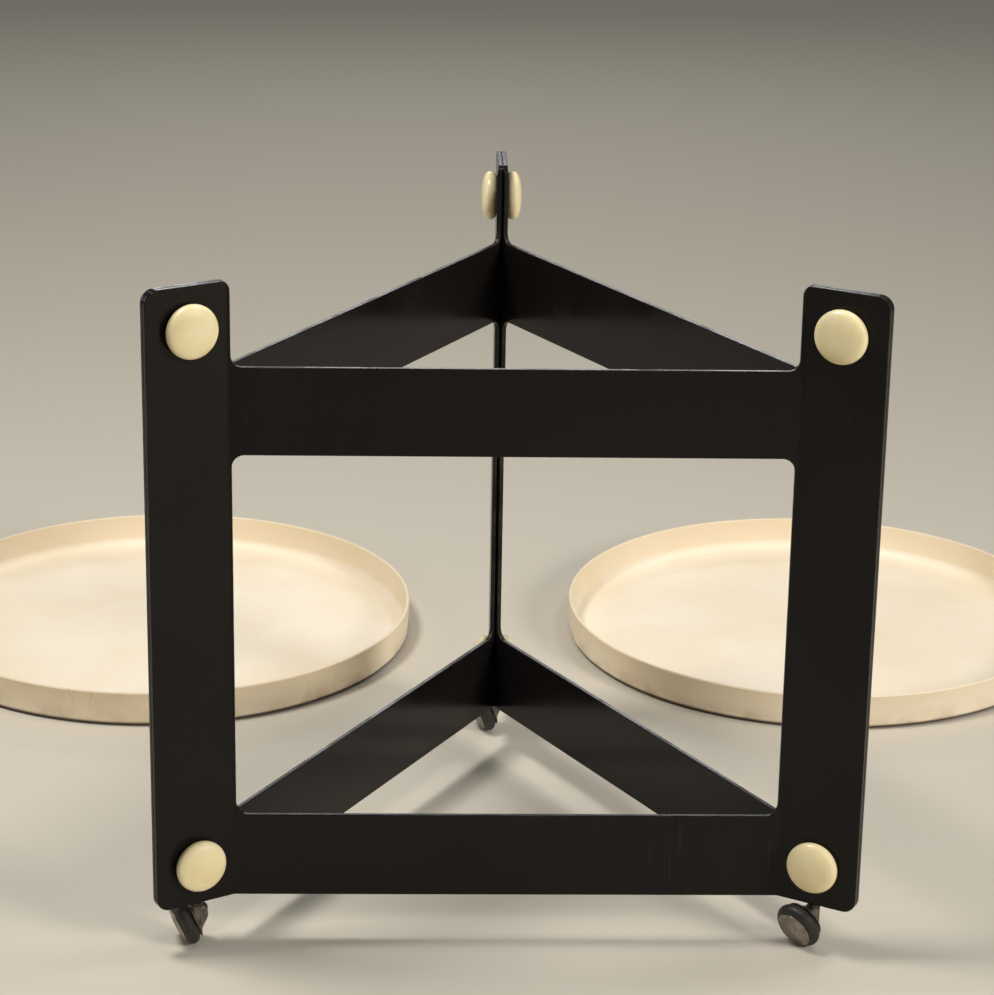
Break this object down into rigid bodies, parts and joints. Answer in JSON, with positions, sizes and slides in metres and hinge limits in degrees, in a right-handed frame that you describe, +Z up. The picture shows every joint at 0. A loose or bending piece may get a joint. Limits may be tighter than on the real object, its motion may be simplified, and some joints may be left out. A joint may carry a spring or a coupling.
{
  "type": "serving cart",
  "caption": "Triangular serving cart on ball casters: bent black panels clamped at the corners by ivory knobs, with round lift-off trays standing behind it.",
  "frame": {"origin": "on the floor, on the vertical axis of the triangular frame", "axes": "+Z up, -Y towards the front panel, +X to the right seen from the front"},
  "size_m": [1.3892, 1.1464, 0.6576],
  "materials": {
    "black_lacquer": "satin",
    "ivory_plastic": "satin",
    "cream_plastic": "satin",
    "zinc_plated_steel": "satin",
    "blackened_steel": "satin",
    "brass": "satin",
    "cast_zinc": "satin",
    "hub_plastic": "matte",
    "tyre_rubber": "matte",
    "pressed_steel": "satin"
  },
  "bodies": {
    "frame": {"front_panel": "black_lacquer", "left_panel": "black_lacquer", "right_panel": "black_lacquer", "left_lower_front_knob": "ivory_plastic", "left_lower_side_knob": "ivory_plastic", "left_upper_front_knob": "ivory_plastic", "left_upper_side_knob": "ivory_plastic", "right_lower_front_knob": "ivory_plastic", "right_lower_side_knob": "ivory_plastic", "right_upper_front_knob": "ivory_plastic", "right_upper_side_knob": "ivory_plastic", "rear_lower_left_knob": "ivory_plastic", "rear_lower_right_knob": "ivory_plastic", "rear_upper_left_knob": "ivory_plastic", "rear_upper_right_knob": "ivory_plastic", "clamp_studs": "zinc_plated_steel", "knob_inserts": "brass", "left_caster_socket": "blackened_steel", "right_caster_socket": "blackened_steel", "rear_caster_socket": "blackened_steel"},
    "caster_left": {"left_caster_stem": "blackened_steel", "left_caster_ring": "zinc_plated_steel", "left_caster_hood": "cast_zinc", "left_wheel_axle": "zinc_plated_steel"},
    "wheel_left": {"left_wheel_hub": "hub_plastic", "left_wheel_tyre": "tyre_rubber", "left_hub_cap": "pressed_steel"},
    "caster_right": {"right_caster_stem": "blackened_steel", "right_caster_ring": "zinc_plated_steel", "right_caster_hood": "cast_zinc", "right_wheel_axle": "zinc_plated_steel"},
    "wheel_right": {"right_wheel_hub": "hub_plastic", "right_wheel_tyre": "tyre_rubber", "right_hub_cap": "pressed_steel"},
    "caster_rear": {"rear_caster_stem": "blackened_steel", "rear_caster_ring": "zinc_plated_steel", "rear_caster_hood": "cast_zinc", "rear_wheel_axle": "zinc_plated_steel"},
    "wheel_rear": {"rear_wheel_hub": "hub_plastic", "rear_wheel_tyre": "tyre_rubber", "rear_hub_cap": "pressed_steel"},
    "tray_left": {"left_tray": "cream_plastic"},
    "tray_right": {"right_tray": "cream_plastic"}
  },
  "joints": [
    {"name": "left_caster_swivel", "type": "hinge", "parent": "frame", "child": "caster_left", "pos_m": [-0.29687, -0.1714, 0.04764], "axis": [0, 0, 1], "continuous": true},
    {"name": "left_wheel_spin", "type": "hinge", "parent": "caster_left", "child": "wheel_left", "pos_m": [-0.3092, -0.16411, 0.02257], "axis": [-0.8627, -0.3398, -0.3746], "continuous": true},
    {"name": "right_caster_swivel", "type": "hinge", "parent": "frame", "child": "caster_right", "pos_m": [0.29687, -0.1714, 0.04764], "axis": [0, 0, 1], "continuous": true},
    {"name": "right_wheel_spin", "type": "hinge", "parent": "caster_right", "child": "wheel_right", "pos_m": [0.28269, -0.16938, 0.02257], "axis": [-0.667, -0.6441, -0.3746], "continuous": true},
    {"name": "rear_caster_swivel", "type": "hinge", "parent": "frame", "child": "caster_rear", "pos_m": [0, 0.3428, 0.04764], "axis": [0, 0, 1], "continuous": true},
    {"name": "rear_wheel_spin", "type": "hinge", "parent": "caster_rear", "child": "wheel_rear", "pos_m": [-0.01226, 0.3502, 0.02257], "axis": [-0.8656, -0.3323, -0.3746], "continuous": true},
    {"name": "left_tray_lift", "type": "slide", "parent": "frame", "child": "tray_left", "axis": [0, 0, 1], "range_m": [0, 0.66]},
    {"name": "right_tray_lift", "type": "slide", "parent": "frame", "child": "tray_right", "axis": [0, 0, 1], "range_m": [0, 0.66]}
  ]
}
